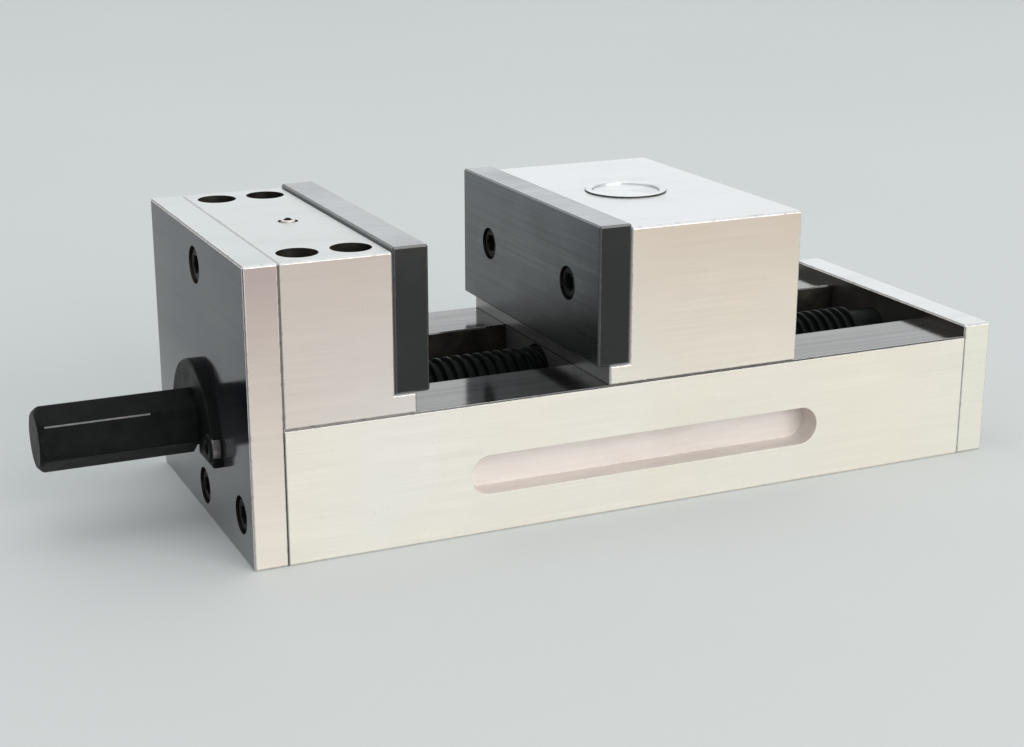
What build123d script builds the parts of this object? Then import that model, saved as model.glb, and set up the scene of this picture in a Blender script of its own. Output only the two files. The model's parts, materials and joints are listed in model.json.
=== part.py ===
from build123d import *
import os
from math import sqrt

# Precision screw vise for a machine table, 100 mm jaws.
# Millimetres, +Z up. +X runs along the lead screw, from the hexagon drive end
# towards the end plate, and -Y is the side seen first when the drive end is on
# the left. The origin is the middle of the base's ground underside.

os.makedirs("parts", exist_ok=True)

# ---------------------------------------------------------------- main sizes
vise_width = 100.0
base_length = 229.0
base_height = 40.0
channel_width = 50.0
channel_floor = 14.0
undercut_depth = 5.0
undercut_top = 19.6
slot_length = 118.0
slot_width = 12.0
slot_depth = 8.0
slot_height = 18.0
plate_thickness = 10.0

jaw_top = 87.0
fixed_jaw_length = 32.5
moving_jaw_length = 58.0
jaw_plate_thickness = 10.5
jaw_plate_proud = 1.2
ledge_height = 6.0
ledge_length = 6.5
jaw_opening = 53.0
end_plate_height = 43.7
edge_break = 0.5

axis_height = 30.0
thread_pitch = 3.5
thread_radius = 9.0
thread_depth = 1.9
journal_radius = 10.0
tail_radius = 7.0
hex_across_flats = 17.0
hex_turn = -7.7
running_clearance = 0.05
shaft_gap = 0.3

# ---------------------------------------------------------------- fasteners
m6_radius = 3.0
m6_clearance_radius = 3.3
m6_head_radius = 5.0
m6_head_height = 6.0
m6_socket = 5.0
m6_counterbore_radius = 5.6
m6_counterbore_depth = 6.6
m6_shank_chamfer = 0.6
jaw_counterbore_radius = 5.9
jaw_counterbore_depth = 8.5
plate_counterbore_radius = 5.2
m4_radius = 2.0
dowel_radius = 3.0
dowel_length = 22.0
dowel_depth = 10.0
head_chamfer = 0.5

# ---------------------------------------------------------------- stations
base_front = -base_length / 2
base_back = base_length / 2
drive_face = base_front - plate_thickness
end_face = base_back + plate_thickness
fixed_seat = base_front + fixed_jaw_length
fixed_face = fixed_seat + jaw_plate_thickness
moving_face = fixed_face + jaw_opening
moving_seat = moving_face + jaw_plate_thickness
moving_back = moving_seat + moving_jaw_length
keel_front = moving_seat - ledge_length
half_width = vise_width / 2
jaw_plate_top = jaw_top + jaw_plate_proud
jaw_plate_bottom = base_height + ledge_height

AXIS_CENTRE = (Align.CENTER, Align.CENTER, Align.MIN)
AXIS_DOWN = (Align.CENTER, Align.CENTER, Align.MAX)
BOX_FROM_CORNER = (Align.MIN, Align.CENTER, Align.MIN)


def facing(direction, *points):
    """Planes at the points, each looking in the given direction."""
    return [Plane(origin=point, z_dir=direction) for point in points]


def pair(x, y, z):
    """A point on the near side and its twin on the far side."""
    return [(x, -y, z), (x, y, z)]


def across(x):
    """The plane square to the lead screw at station x, +Y to its right, +Z up."""
    return Plane(origin=(x, 0, 0), x_dir=(0, 1, 0), z_dir=(1, 0, 0))


def cap_screw(radius, length, head_radius, head_height, socket):
    """Socket head cap screw: the head sits on z = 0 and the shank runs down."""
    with BuildPart() as screw:
        Cylinder(head_radius, head_height, align=AXIS_CENTRE)
        chamfer(screw.edges().sort_by(Axis.Z)[-1], head_chamfer)
        Cylinder(radius, length, align=AXIS_DOWN)
        chamfer(screw.edges().sort_by(Axis.Z)[0], m6_shank_chamfer)
        with BuildSketch(Plane.XY.offset(head_height)):
            RegularPolygon(socket / 2, 6, major_radius=False)
        extrude(amount=-head_height / 2, mode=Mode.SUBTRACT)
    return screw.part


def set_screw(radius, length, socket):
    """Socket set screw: its outer end is on z = 0 and its point is chamfered."""
    with BuildPart() as screw:
        Cylinder(radius, length, align=AXIS_DOWN)
        chamfer(screw.edges().sort_by(Axis.Z)[0], head_chamfer)
        with BuildSketch(Plane.XY):
            RegularPolygon(socket / 2, 6, major_radius=False)
        extrude(amount=-length / 2, mode=Mode.SUBTRACT)
    return screw.part


def ring(outer, inner, x_from, x_to):
    """A plain ring round the lead screw between two stations."""
    with BuildPart() as band:
        with BuildSketch(across(x_from)):
            with Locations((0, axis_height)):
                Circle(outer)
                Circle(inner, mode=Mode.SUBTRACT)
        extrude(amount=x_to - x_from)
    return band


# ================================================================ base body
# A ground U-shaped bed. The channel between its two rails is undercut at the
# bottom, which leaves a lip over each keeper strip. A clamping slot with round
# ends is milled into each flank.
jaw_bolt_y = 40.0
jaw_bolt_stations = (base_front + 8.5, base_front + 24.0)
dowel_station = base_front + 16.2
plate_bolt_y = 38.5
plate_bolt_z = 13.0
floor_bolt_z = 8.8
upper_end_bolt_z = 30.0
plate_bolt_length = 16.0
tapped_depth = 14.0
jaw_tapped_depth = 16.0

with BuildPart() as base_body:
    with BuildSketch(across(base_front)):
        Rectangle(vise_width, base_height, align=(Align.CENTER, Align.MIN))
        with Locations((0, channel_floor)):
            Rectangle(
                channel_width,
                base_height,
                align=(Align.CENTER, Align.MIN),
                mode=Mode.SUBTRACT,
            )
            Rectangle(
                channel_width + 2 * undercut_depth,
                undercut_top - channel_floor,
                align=(Align.CENTER, Align.MIN),
                mode=Mode.SUBTRACT,
            )
    extrude(amount=base_length)
    long_edges = base_body.edges().filter_by(Axis.X)
    chamfer(long_edges.group_by(Axis.Z)[0], edge_break)
    chamfer(long_edges.group_by(Axis.Z)[-1], edge_break)
    for side in (-1, 1):
        flank = Plane(origin=(0, side * half_width, slot_height), x_dir=(1, 0, 0), z_dir=(0, side, 0))
        with BuildSketch(flank):
            SlotOverall(slot_length, slot_width)
        extrude(amount=-slot_depth, mode=Mode.SUBTRACT)
    with Locations(*[spot for x in jaw_bolt_stations for spot in pair(x, jaw_bolt_y, base_height)]):
        Hole(m6_radius, depth=jaw_tapped_depth)
    with Locations(*pair(dowel_station, jaw_bolt_y, base_height)):
        Hole(dowel_radius, depth=dowel_depth)
    with Locations(
        *facing((-1, 0, 0), *pair(base_front, plate_bolt_y, plate_bolt_z), (base_front, 0, floor_bolt_z))
    ):
        Hole(m6_radius, depth=tapped_depth)
    with Locations(
        *facing(
            (1, 0, 0),
            *pair(base_back, plate_bolt_y, plate_bolt_z),
            *pair(base_back, plate_bolt_y, upper_end_bolt_z),
        )
    ):
        Hole(m6_radius, depth=tapped_depth)
base_body.part.label = "base_body"
export_step(base_body.part, "parts/base_body.step")

# ================================================================ front plate
# It closes the drive end, backs the fixed jaw and carries the front bush in a
# bore from behind. Two screws for the retainer are tapped into it, one on each
# side of the lead screw.
upper_bolt_z = 76.7
bush_radius = 13.0
bush_depth = 8.0
retainer_screw_radius = 2.5
retainer_screw_y = 18.8
retainer_screw_z = 27.2
front_bolts = [
    (drive_face, 0, upper_bolt_z),
    (drive_face, 0, floor_bolt_z),
    *pair(drive_face, plate_bolt_y, plate_bolt_z),
]

with BuildPart() as front_plate:
    with Locations((drive_face, 0, 0)):
        Box(plate_thickness, vise_width, jaw_top, align=BOX_FROM_CORNER)
    chamfer(front_plate.edges(), edge_break)
    with Locations(*facing((-1, 0, 0), *front_bolts)):
        CounterBoreHole(m6_clearance_radius, m6_counterbore_radius, m6_counterbore_depth)
    with Locations(*facing((1, 0, 0), (base_front, 0, axis_height))):
        CounterBoreHole(journal_radius + shaft_gap, bush_radius, bush_depth)
    with Locations(*facing((-1, 0, 0), *pair(drive_face, retainer_screw_y, retainer_screw_z))):
        Hole(retainer_screw_radius, depth=plate_thickness)
front_plate.part.label = "front_plate"
export_step(front_plate.part, "parts/front_plate.step")

# ================================================================ retainer
# A half-moon plate that drops over the neck of the lead screw and takes its
# thrust both ways. Its two low-headed screws sit in notches in its rim.
retainer_thickness = 3.2
retainer_radius = 22.5
retainer_centre_z = 25.5
retainer_bottom = 21.8
retainer_step = 0.5
retainer_rounding = 0.4
neck_radius = 7.6
neck_clearance = 0.15
retainer_head_radius = 4.25
retainer_head_height = 3.5
retainer_socket = 3.0
retainer_front = drive_face - retainer_thickness

with BuildPart() as retainer_plate:
    with BuildSketch(across(retainer_front)):
        with Locations((0, retainer_centre_z)):
            Circle(retainer_radius)
        with Locations((0, retainer_bottom)):
            Rectangle(
                2 * retainer_radius,
                retainer_radius,
                align=(Align.CENTER, Align.MAX),
                mode=Mode.SUBTRACT,
            )
    extrude(amount=retainer_thickness)
    chamfer(retainer_plate.faces().sort_by(Axis.X)[0].edges(), retainer_rounding)
    with BuildSketch(across(retainer_front)):
        with Locations((0, axis_height)):
            Circle(neck_radius + neck_clearance)
            Rectangle(
                2 * (neck_radius + neck_clearance),
                axis_height,
                align=(Align.CENTER, Align.MAX),
            )
    extrude(amount=retainer_thickness, mode=Mode.SUBTRACT)
    with Locations(*facing((-1, 0, 0), *pair(retainer_front, retainer_screw_y, retainer_screw_z))):
        CounterBoreHole(
            retainer_screw_radius + running_clearance,
            retainer_head_radius + neck_clearance,
            retainer_thickness - retainer_step,
        )
retainer_plate.part.label = "retainer_plate"
export_step(retainer_plate.part, "parts/retainer_plate.step")

# ================================================================ end plate
# It closes the other end of the bed, stands a little over the rails as a stop
# for the moving jaw, and carries the tail bush from outside behind a lip.
tail_bush_radius = 10.0
tail_lip = 2.5
end_bolts = [
    *pair(end_face, plate_bolt_y, plate_bolt_z),
    *pair(end_face, plate_bolt_y, upper_end_bolt_z),
]

with BuildPart() as end_plate:
    with Locations((base_back, 0, 0)):
        Box(plate_thickness, vise_width, end_plate_height, align=BOX_FROM_CORNER)
    chamfer(end_plate.edges(), edge_break)
    with Locations(*facing((1, 0, 0), *end_bolts)):
        CounterBoreHole(m6_clearance_radius, m6_counterbore_radius, m6_counterbore_depth)
    with Locations(*facing((1, 0, 0), (end_face, 0, axis_height))):
        CounterBoreHole(tail_radius + shaft_gap, tail_bush_radius, plate_thickness - tail_lip)
end_plate.part.label = "end_plate"
export_step(end_plate.part, "parts/end_plate.step")

# ================================================================ fixed jaw
# A block bolted down on the rails. A ledge along its foot carries the hardened
# jaw plate, and an arch under it clears the lock collar and the screw.
collar_radius = 15.0
collar_arch_radius = 15.6
screw_arch_radius = 11.0
collar_arch_end = base_front + 13.5
oiler_station = base_front + 18.7
oiler_radius = 3.0
oiler_length = 8.0
oil_way_radius = 1.25
jaw_plate_bolt_y = 29.0
jaw_plate_bolt_z = 66.9

with BuildPart() as fixed_jaw:
    with BuildSketch(Plane.XZ):
        with BuildLine():
            Polyline(
                (base_front, base_height),
                (fixed_seat + ledge_length, base_height),
                (fixed_seat + ledge_length, jaw_plate_bottom),
                (fixed_seat, jaw_plate_bottom),
                (fixed_seat, jaw_top),
                (base_front, jaw_top),
                close=True,
            )
        make_face()
    extrude(amount=half_width, both=True)
    outer_edges = fixed_jaw.edges().filter_by(lambda edge: abs(edge.center().Y) > half_width - 0.1)
    chamfer(outer_edges + fixed_jaw.edges().filter_by(Axis.Y).group_by(Axis.Z)[-1], edge_break)
    for arch_radius, arch_end in (
        (collar_arch_radius, collar_arch_end),
        (screw_arch_radius, fixed_seat + ledge_length),
    ):
        with BuildSketch(across(base_front)):
            with Locations((0, axis_height)):
                Circle(arch_radius)
        extrude(amount=arch_end - base_front, mode=Mode.SUBTRACT)
    with Locations(*[spot for x in jaw_bolt_stations for spot in pair(x, jaw_bolt_y, jaw_top)]):
        CounterBoreHole(m6_clearance_radius, jaw_counterbore_radius, jaw_counterbore_depth)
    with Locations(*facing((0, 0, -1), *pair(dowel_station, jaw_bolt_y, base_height))):
        Hole(dowel_radius, depth=dowel_length - dowel_depth)
    with Locations((oiler_station, 0, jaw_top)):
        CounterBoreHole(oil_way_radius, oiler_radius, oiler_length)
    with Locations(*facing((1, 0, 0), *pair(fixed_seat, jaw_plate_bolt_y, jaw_plate_bolt_z))):
        Hole(m6_radius, depth=tapped_depth)
    with Locations(*facing((-1, 0, 0), (base_front, 0, upper_bolt_z))):
        Hole(m6_radius, depth=tapped_depth)
fixed_jaw.part.label = "fixed_jaw"
export_step(fixed_jaw.part, "parts/fixed_jaw.step")


# ================================================================ jaw plates
def jaw_plate(seat, outward):
    """Hardened plate on a seat face, its screw heads sunk in the gripping side."""
    face = seat + outward * jaw_plate_thickness
    with BuildPart() as plate:
        with Locations((min(seat, face), 0, jaw_plate_bottom)):
            Box(jaw_plate_thickness, vise_width, jaw_plate_top - jaw_plate_bottom, align=BOX_FROM_CORNER)
        chamfer(plate.edges(), edge_break)
        with Locations(*facing((outward, 0, 0), *pair(face, jaw_plate_bolt_y, jaw_plate_bolt_z))):
            CounterBoreHole(m6_clearance_radius, plate_counterbore_radius, m6_counterbore_depth)
    return plate


fixed_jaw_plate = jaw_plate(fixed_seat, 1)
fixed_jaw_plate.part.label = "fixed_jaw_plate"
export_step(fixed_jaw_plate.part, "parts/fixed_jaw_plate.step")

moving_jaw_plate = jaw_plate(moving_seat, -1)
moving_jaw_plate.part.label = "moving_jaw_plate"
export_step(moving_jaw_plate.part, "parts/moving_jaw_plate.step")

# ================================================================ moving jaw
# A block that slides on the rails. Its keel fits between them and straddles the
# screw. Inside is a pocket for the nut with a seat sloped at 45 degrees for the
# half ball, so that tightening pulls the jaw down as well as forward.
sliding_clearance = 0.1
keel_half_width = channel_width / 2 - sliding_clearance
keel_bottom = undercut_top - sliding_clearance
keel_back = moving_back - 2.0
keel_bore_radius = thread_radius + 0.6
nut_half_width = 15.0
nut_gap = 0.3
nut_front = moving_seat + 16.0
nut_back = moving_seat + 41.0
nut_top = 66.0
nut_bottom = 15.2
ball_radius = 7.5
ball_x = moving_seat + 9.0
ball_z = 54.0
nose_front = moving_seat + 2.0
seat_sum = ball_x + ball_z
pocket_top = nut_top + 1.0
plug_station = moving_seat + 24.2
plug_ring_radius = 13.0
plug_ring_height = 8.0
plug_radius = 10.75
keeper_screw_y = 20.0
keeper_screw_depth = 12.0
keeper_stations = (moving_seat + 11.0, moving_seat + 38.0)


def keeper_points(z):
    """Where the keeper screws are, at height z, looking down."""
    return facing((0, 0, -1), *[spot for x in keeper_stations for spot in pair(x, keeper_screw_y, z)])


with BuildPart() as moving_jaw:
    with BuildSketch(Plane.XZ):
        with BuildLine():
            Polyline(
                (keel_front, base_height),
                (moving_back, base_height),
                (moving_back, jaw_top),
                (moving_seat, jaw_top),
                (moving_seat, jaw_plate_bottom),
                (keel_front, jaw_plate_bottom),
                close=True,
            )
        make_face()
    extrude(amount=half_width, both=True)
    flank_edges = moving_jaw.edges().filter_by(lambda edge: abs(edge.center().Y) > half_width - 0.1)
    cross_edges = moving_jaw.edges().filter_by(Axis.Y)
    top_edges = cross_edges.group_by(Axis.Z)[-1]
    chamfer(flank_edges + top_edges + cross_edges.sort_by(Axis.X)[-2:].sort_by(Axis.Z)[:1], edge_break)
    with Locations((keel_front, 0, keel_bottom)):
        Box(
            keel_back - keel_front,
            2 * keel_half_width,
            base_height - keel_bottom,
            align=BOX_FROM_CORNER,
        )
    with BuildSketch(across(keel_front)):
        with Locations((0, axis_height)):
            Circle(keel_bore_radius)
            Rectangle(2 * keel_bore_radius, axis_height, align=(Align.CENTER, Align.MAX))
    extrude(amount=keel_back - keel_front, mode=Mode.SUBTRACT)
    with BuildSketch(Plane.XZ):
        with BuildLine():
            Polyline(
                (nut_front - nut_gap, keel_bottom),
                (nut_back + nut_gap, keel_bottom),
                (nut_back + nut_gap, pocket_top),
                (nose_front - 1, pocket_top),
                (nose_front - 1, seat_sum - nose_front + 1),
                (nut_front - nut_gap, seat_sum - nut_front + nut_gap),
                close=True,
            )
        make_face()
    extrude(amount=nut_half_width + sliding_clearance, both=True, mode=Mode.SUBTRACT)
    with Locations((ball_x, 0, ball_z)):
        Sphere(ball_radius, mode=Mode.SUBTRACT)
    with Locations((plug_station, 0, jaw_top)):
        CounterBoreHole(
            plug_radius + running_clearance,
            plug_ring_radius,
            plug_ring_height,
            depth=jaw_top - pocket_top,
        )
    with Locations(*facing((-1, 0, 0), *pair(moving_seat, jaw_plate_bolt_y, jaw_plate_bolt_z))):
        Hole(m6_radius, depth=tapped_depth)
    with Locations(*keeper_points(keel_bottom)):
        Hole(m4_radius, depth=keeper_screw_depth)
moving_jaw.part.label = "moving_jaw"
export_step(moving_jaw.part, "parts/moving_jaw.step")

# ================================================================ slide nut
# The nut runs on the screw. Its nose reaches forward over the half ball, and
# the sloped underside of the nose pushes the jaw forward and down.
seat_gap = 0.6

with BuildPart() as slide_nut:
    with BuildSketch(Plane.XZ):
        with BuildLine():
            Polyline(
                (nut_front, nut_bottom),
                (nut_back, nut_bottom),
                (nut_back, nut_top),
                (nose_front, nut_top),
                (nose_front, seat_sum - nose_front + seat_gap),
                (nut_front, seat_sum - nut_front + seat_gap),
                close=True,
            )
        make_face()
    extrude(amount=nut_half_width, both=True)
    with Locations(*facing((-1, 0, 0), (nut_front, 0, axis_height))):
        Hole(thread_radius + running_clearance, depth=nut_back - nut_front)
slide_nut.part.label = "slide_nut"
export_step(slide_nut.part, "parts/slide_nut.step")

# ================================================================ half ball
# Hardened half ball: round side in the jaw's socket, flat side on the nut.
slope = Plane(origin=(ball_x, 0, ball_z), x_dir=(0, 1, 0), z_dir=(1, 0, 1))
with BuildPart() as half_ball:
    with Locations((ball_x, 0, ball_z)):
        Sphere(ball_radius)
    split(bisect_by=slope.offset(seat_gap / sqrt(2)), keep=Keep.BOTTOM)
half_ball.part.label = "half_ball"
export_step(half_ball.part, "parts/half_ball.step")

# ================================================================ keeper strips
# One strip under each side of the keel hooks below the lip of the rail.
strip_inner = nut_half_width + 0.6
strip_outer = channel_width / 2 + undercut_depth - shaft_gap
strip_bottom = channel_floor + 0.4
strip_front = moving_seat + 2.0
strip_length = 45.0
countersink_radius = 3.8
flat_head_gap = 0.2
flat_head_radius = 3.7
flat_screw_length = 16.0
flat_socket = 2.5
flat_socket_depth = 1.6


def keeper_strip(side):
    """Hold-down strip on one side of the keel, countersunk from below."""
    with BuildPart() as strip:
        with Locations((strip_front, side * (strip_inner + strip_outer) / 2, strip_bottom)):
            Box(
                strip_length,
                strip_outer - strip_inner,
                keel_bottom - strip_bottom,
                align=BOX_FROM_CORNER,
            )
        seats = [(x, side * keeper_screw_y, strip_bottom) for x in keeper_stations]
        with Locations(*facing((0, 0, -1), *seats)):
            CounterSinkHole(m4_radius + flat_head_gap, countersink_radius)
    return strip


keeper_near = keeper_strip(-1)
keeper_near.part.label = "keeper_near"
export_step(keeper_near.part, "parts/keeper_near.step")

keeper_far = keeper_strip(1)
keeper_far.part.label = "keeper_far"
export_step(keeper_far.part, "parts/keeper_far.step")

with BuildPart() as flat_screw:
    Cylinder(m4_radius, flat_screw_length, align=AXIS_DOWN)
    Cone(m4_radius, flat_head_radius, flat_head_radius - m4_radius, align=AXIS_DOWN)
    with BuildSketch(Plane.XY):
        RegularPolygon(flat_socket / 2, 6, major_radius=False)
    extrude(amount=-flat_socket_depth, mode=Mode.SUBTRACT)

with BuildPart() as keeper_screws:
    with Locations(*keeper_points(strip_bottom)):
        add(flat_screw.part)
keeper_screws.part.label = "keeper_screws"
export_step(keeper_screws.part, "parts/keeper_screws.step")

# ================================================================ top plug
# A steel ring that stands a little proud of the moving jaw's top, and inside it
# a plain turned plug. The plug's stem stops the nut from lifting.
plug_top = jaw_top - 0.1
plug_length = 14.0
plug_stem_radius = 5.5
plug_stem_gap = 0.1
plug_edge = 0.3
plug_ring_proud = 0.5

with BuildPart() as plug_ring:
    with Locations((plug_station, 0, jaw_top - plug_ring_height)):
        Cylinder(plug_ring_radius, plug_ring_height + plug_ring_proud, align=AXIS_CENTRE)
        Cylinder(plug_radius, plug_ring_height + plug_ring_proud, align=AXIS_CENTRE, mode=Mode.SUBTRACT)
    chamfer(plug_ring.edges().group_by(Axis.Z)[-1], plug_edge)
plug_ring.part.label = "plug_ring"
export_step(plug_ring.part, "parts/plug_ring.step")

with BuildPart() as top_plug:
    with Locations((plug_station, 0, plug_top)):
        Cylinder(plug_radius, plug_length, align=AXIS_DOWN)
    chamfer(top_plug.edges().group_by(Axis.Z)[-1], plug_edge)
    with Locations((plug_station, 0, nut_top + plug_stem_gap)):
        Cylinder(plug_stem_radius, plug_top - plug_length - nut_top, align=AXIS_CENTRE)
top_plug.part.label = "top_plug"
export_step(top_plug.part, "parts/top_plug.step")

# ================================================================ lead screw
# Hexagon drive end, a neck for the retainer, plain journal through the front
# bush, trapezoidal thread along the channel, and a tail journal in the end plate.
hex_end = drive_face - 49.0
hex_chamfer = 1.8
neck_front = retainer_front - 2 * running_clearance
journal_front = drive_face + 2 * running_clearance
journal_end = base_front + 14.5
thread_relief = 3.0
thread_start = journal_end + thread_relief
thread_end = base_back - 9.5
core_radius = thread_radius - thread_depth
hex_corner = hex_across_flats / sqrt(3)
tail_end = end_face - 0.8
thread_root_half = 1.2
thread_crest_half = 0.6
thread_bite = 0.05

with BuildPart() as thread:
    with BuildLine() as thread_line:
        helix = Helix(
            pitch=thread_pitch,
            height=thread_end - thread_start,
            radius=core_radius - thread_bite,
            center=(thread_start, 0, axis_height),
            direction=(1, 0, 0),
        )
    outward = helix @ 0 - Vector(thread_start, 0, axis_height)
    with BuildSketch(Plane(origin=helix @ 0, x_dir=outward, z_dir=helix % 0)):
        with BuildLine():
            Polyline(
                (0, -thread_root_half),
                (0, thread_root_half),
                (thread_depth + thread_bite, thread_crest_half),
                (thread_depth + thread_bite, -thread_crest_half),
                close=True,
            )
        make_face()
    sweep(path=thread_line.line, is_frenet=True)

with BuildPart() as lead_screw:
    with BuildSketch(Plane(origin=(hex_end, 0, axis_height), x_dir=(0, 0, 1), z_dir=(1, 0, 0))):
        RegularPolygon(hex_across_flats / 2, 6, major_radius=False, rotation=hex_turn)
    extrude(amount=neck_front - hex_end)
    with BuildSketch(Plane.XZ):
        with BuildLine():
            Polyline(
                (hex_end, axis_height),
                (hex_end, axis_height + hex_corner - hex_chamfer * 0.9),
                (hex_end + hex_chamfer, axis_height + hex_corner),
                (neck_front, axis_height + hex_corner),
                (neck_front, axis_height),
                close=True,
            )
        make_face()
    revolve(axis=Axis((0, 0, axis_height), (1, 0, 0)), mode=Mode.INTERSECT)
    with BuildSketch(Plane.XZ):
        with BuildLine():
            Polyline(
                (neck_front, axis_height),
                (neck_front, axis_height + neck_radius),
                (journal_front, axis_height + neck_radius),
                (journal_front, axis_height + journal_radius),
                (journal_end, axis_height + journal_radius),
                (journal_end, axis_height + core_radius),
                (thread_end + thread_relief, axis_height + core_radius),
                (thread_end + thread_relief, axis_height + tail_radius),
                (tail_end - 1, axis_height + tail_radius),
                (tail_end, axis_height + tail_radius - 1),
                (tail_end, axis_height),
                close=True,
            )
        make_face()
    revolve(axis=Axis((0, 0, axis_height), (1, 0, 0)))
    add(thread.part)
lead_screw.part.label = "lead_screw"
export_step(lead_screw.part, "parts/lead_screw.step")

# ================================================================ lock collar
# Clamped on the journal behind the front plate, it presses the thrust bearing
# against the bush flange and holds the screw in when the jaw is opened.
flange_thickness = 2.0
race_thickness = 1.0
ball_count = 20
bearing_ball_radius = 1.0
bearing_ball_gap = 0.1
bearing_pitch_radius = 12.0
static_race_start = base_front + flange_thickness
ball_station = static_race_start + race_thickness + bearing_ball_radius + bearing_ball_gap
rotating_race_start = ball_station + bearing_ball_radius + bearing_ball_gap
lock_front = rotating_race_start + race_thickness
lock_length = 6.1
lock_edge = 0.4
lock_socket = 2.0
lock_screw_depth = 0.3
lock_middle = lock_front + lock_length / 2

lock_ring = ring(collar_radius, journal_radius, lock_front, lock_front + lock_length)
with BuildPart() as lock_collar:
    add(lock_ring.part)
    chamfer(lock_collar.edges().filter_by(GeomType.CIRCLE), lock_edge)
    with Locations(*facing((0, 0, 1), (lock_middle, 0, axis_height + collar_radius))):
        Hole(m4_radius, depth=collar_radius - journal_radius)
lock_collar.part.label = "lock_collar"
export_step(lock_collar.part, "parts/lock_collar.step")

lock_screw = set_screw(m4_radius, collar_radius - journal_radius - lock_screw_depth, lock_socket)
with BuildPart() as lock_collar_screw:
    with Locations((lock_middle, 0, axis_height + collar_radius - lock_screw_depth)):
        add(lock_screw)
lock_collar_screw.part.label = "lock_collar_screw"
export_step(lock_collar_screw.part, "parts/lock_collar_screw.step")

# ================================================================ thrust bearing
# Two races with a caged ring of balls between them, behind the bush flange.
race_outer = collar_radius - 2 * shaft_gap
cage_outer = race_outer - 2 * bearing_ball_gap
cage_inner = journal_radius + 2 * shaft_gap
cage_thickness = 1.0

static_race_end = static_race_start + race_thickness
static_race_bore = journal_radius + 1.2
static_race = ring(race_outer, static_race_bore, static_race_start, static_race_end)
static_race.part.label = "static_race"
export_step(static_race.part, "parts/static_race.step")

rotating_race = ring(race_outer, journal_radius, rotating_race_start, lock_front)
rotating_race.part.label = "rotating_race"
export_step(rotating_race.part, "parts/rotating_race.step")

ball_ring = Plane(origin=(ball_station, 0, axis_height), x_dir=(0, 1, 0), z_dir=(1, 0, 0))
with BuildPart(ball_ring) as bearing_balls:
    with PolarLocations(bearing_pitch_radius, ball_count):
        Sphere(bearing_ball_radius)
bearing_balls.part.label = "bearing_balls"
export_step(bearing_balls.part, "parts/bearing_balls.step")

with BuildPart(ball_ring) as bearing_cage:
    Cylinder(cage_outer, cage_thickness)
    Cylinder(cage_inner, cage_thickness, mode=Mode.SUBTRACT)
    with PolarLocations(bearing_pitch_radius, ball_count):
        Cylinder(bearing_ball_radius + bearing_ball_gap, cage_thickness, mode=Mode.SUBTRACT)
bearing_cage.part.label = "bearing_cage"
export_step(bearing_cage.part, "parts/bearing_cage.step")

# ================================================================ bushes
bush_bore = journal_radius + running_clearance
bush_body = ring(bush_radius, bush_bore, base_front - bush_depth, base_front)
bush_flange = ring(collar_radius, bush_bore, base_front, static_race_start)
tail_bush_gap = 0.3
with BuildPart() as front_bush:
    add(bush_body.part)
    add(bush_flange.part)
front_bush.part.label = "front_bush"
export_step(front_bush.part, "parts/front_bush.step")

tail_bush = ring(
    tail_bush_radius,
    tail_radius + running_clearance,
    base_back + tail_lip,
    end_face - tail_bush_gap,
)
tail_bush.part.label = "tail_bush"
export_step(tail_bush.part, "parts/tail_bush.step")

# ================================================================ screws and pins
jaw_bolt_length = 50.0
retainer_screw_length = 8.0
plate_seat_depth = m6_counterbore_depth
retainer_seat = drive_face - retainer_step
plate_screw = cap_screw(m6_radius, plate_bolt_length, m6_head_radius, m6_head_height, m6_socket)
jaw_screw = cap_screw(m6_radius, jaw_bolt_length, m6_head_radius, m6_head_height, m6_socket)
retainer_screw = cap_screw(
    retainer_screw_radius,
    retainer_screw_length,
    retainer_head_radius,
    retainer_head_height,
    retainer_socket,
)

with BuildPart() as front_plate_screws:
    with Locations(*facing((-1, 0, 0), *[(x + plate_seat_depth, y, z) for x, y, z in front_bolts])):
        add(plate_screw)
front_plate_screws.part.label = "front_plate_screws"
export_step(front_plate_screws.part, "parts/front_plate_screws.step")

with BuildPart() as retainer_screws:
    with Locations(*facing((-1, 0, 0), *pair(retainer_seat, retainer_screw_y, retainer_screw_z))):
        add(retainer_screw)
retainer_screws.part.label = "retainer_screws"
export_step(retainer_screws.part, "parts/retainer_screws.step")

with BuildPart() as end_plate_screws:
    with Locations(*facing((1, 0, 0), *[(x - plate_seat_depth, y, z) for x, y, z in end_bolts])):
        add(plate_screw)
end_plate_screws.part.label = "end_plate_screws"
export_step(end_plate_screws.part, "parts/end_plate_screws.step")

with BuildPart() as fixed_jaw_screws:
    with Locations(
        *[spot for x in jaw_bolt_stations for spot in pair(x, jaw_bolt_y, jaw_top - jaw_counterbore_depth)]
    ):
        add(jaw_screw)
fixed_jaw_screws.part.label = "fixed_jaw_screws"
export_step(fixed_jaw_screws.part, "parts/fixed_jaw_screws.step")

with BuildPart() as fixed_plate_screws:
    fixed_heads = pair(fixed_face - plate_seat_depth, jaw_plate_bolt_y, jaw_plate_bolt_z)
    with Locations(*facing((1, 0, 0), *fixed_heads)):
        add(plate_screw)
fixed_plate_screws.part.label = "fixed_plate_screws"
export_step(fixed_plate_screws.part, "parts/fixed_plate_screws.step")

with BuildPart() as moving_plate_screws:
    moving_heads = pair(moving_face + plate_seat_depth, jaw_plate_bolt_y, jaw_plate_bolt_z)
    with Locations(*facing((-1, 0, 0), *moving_heads)):
        add(plate_screw)
moving_plate_screws.part.label = "moving_plate_screws"
export_step(moving_plate_screws.part, "parts/moving_plate_screws.step")

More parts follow.
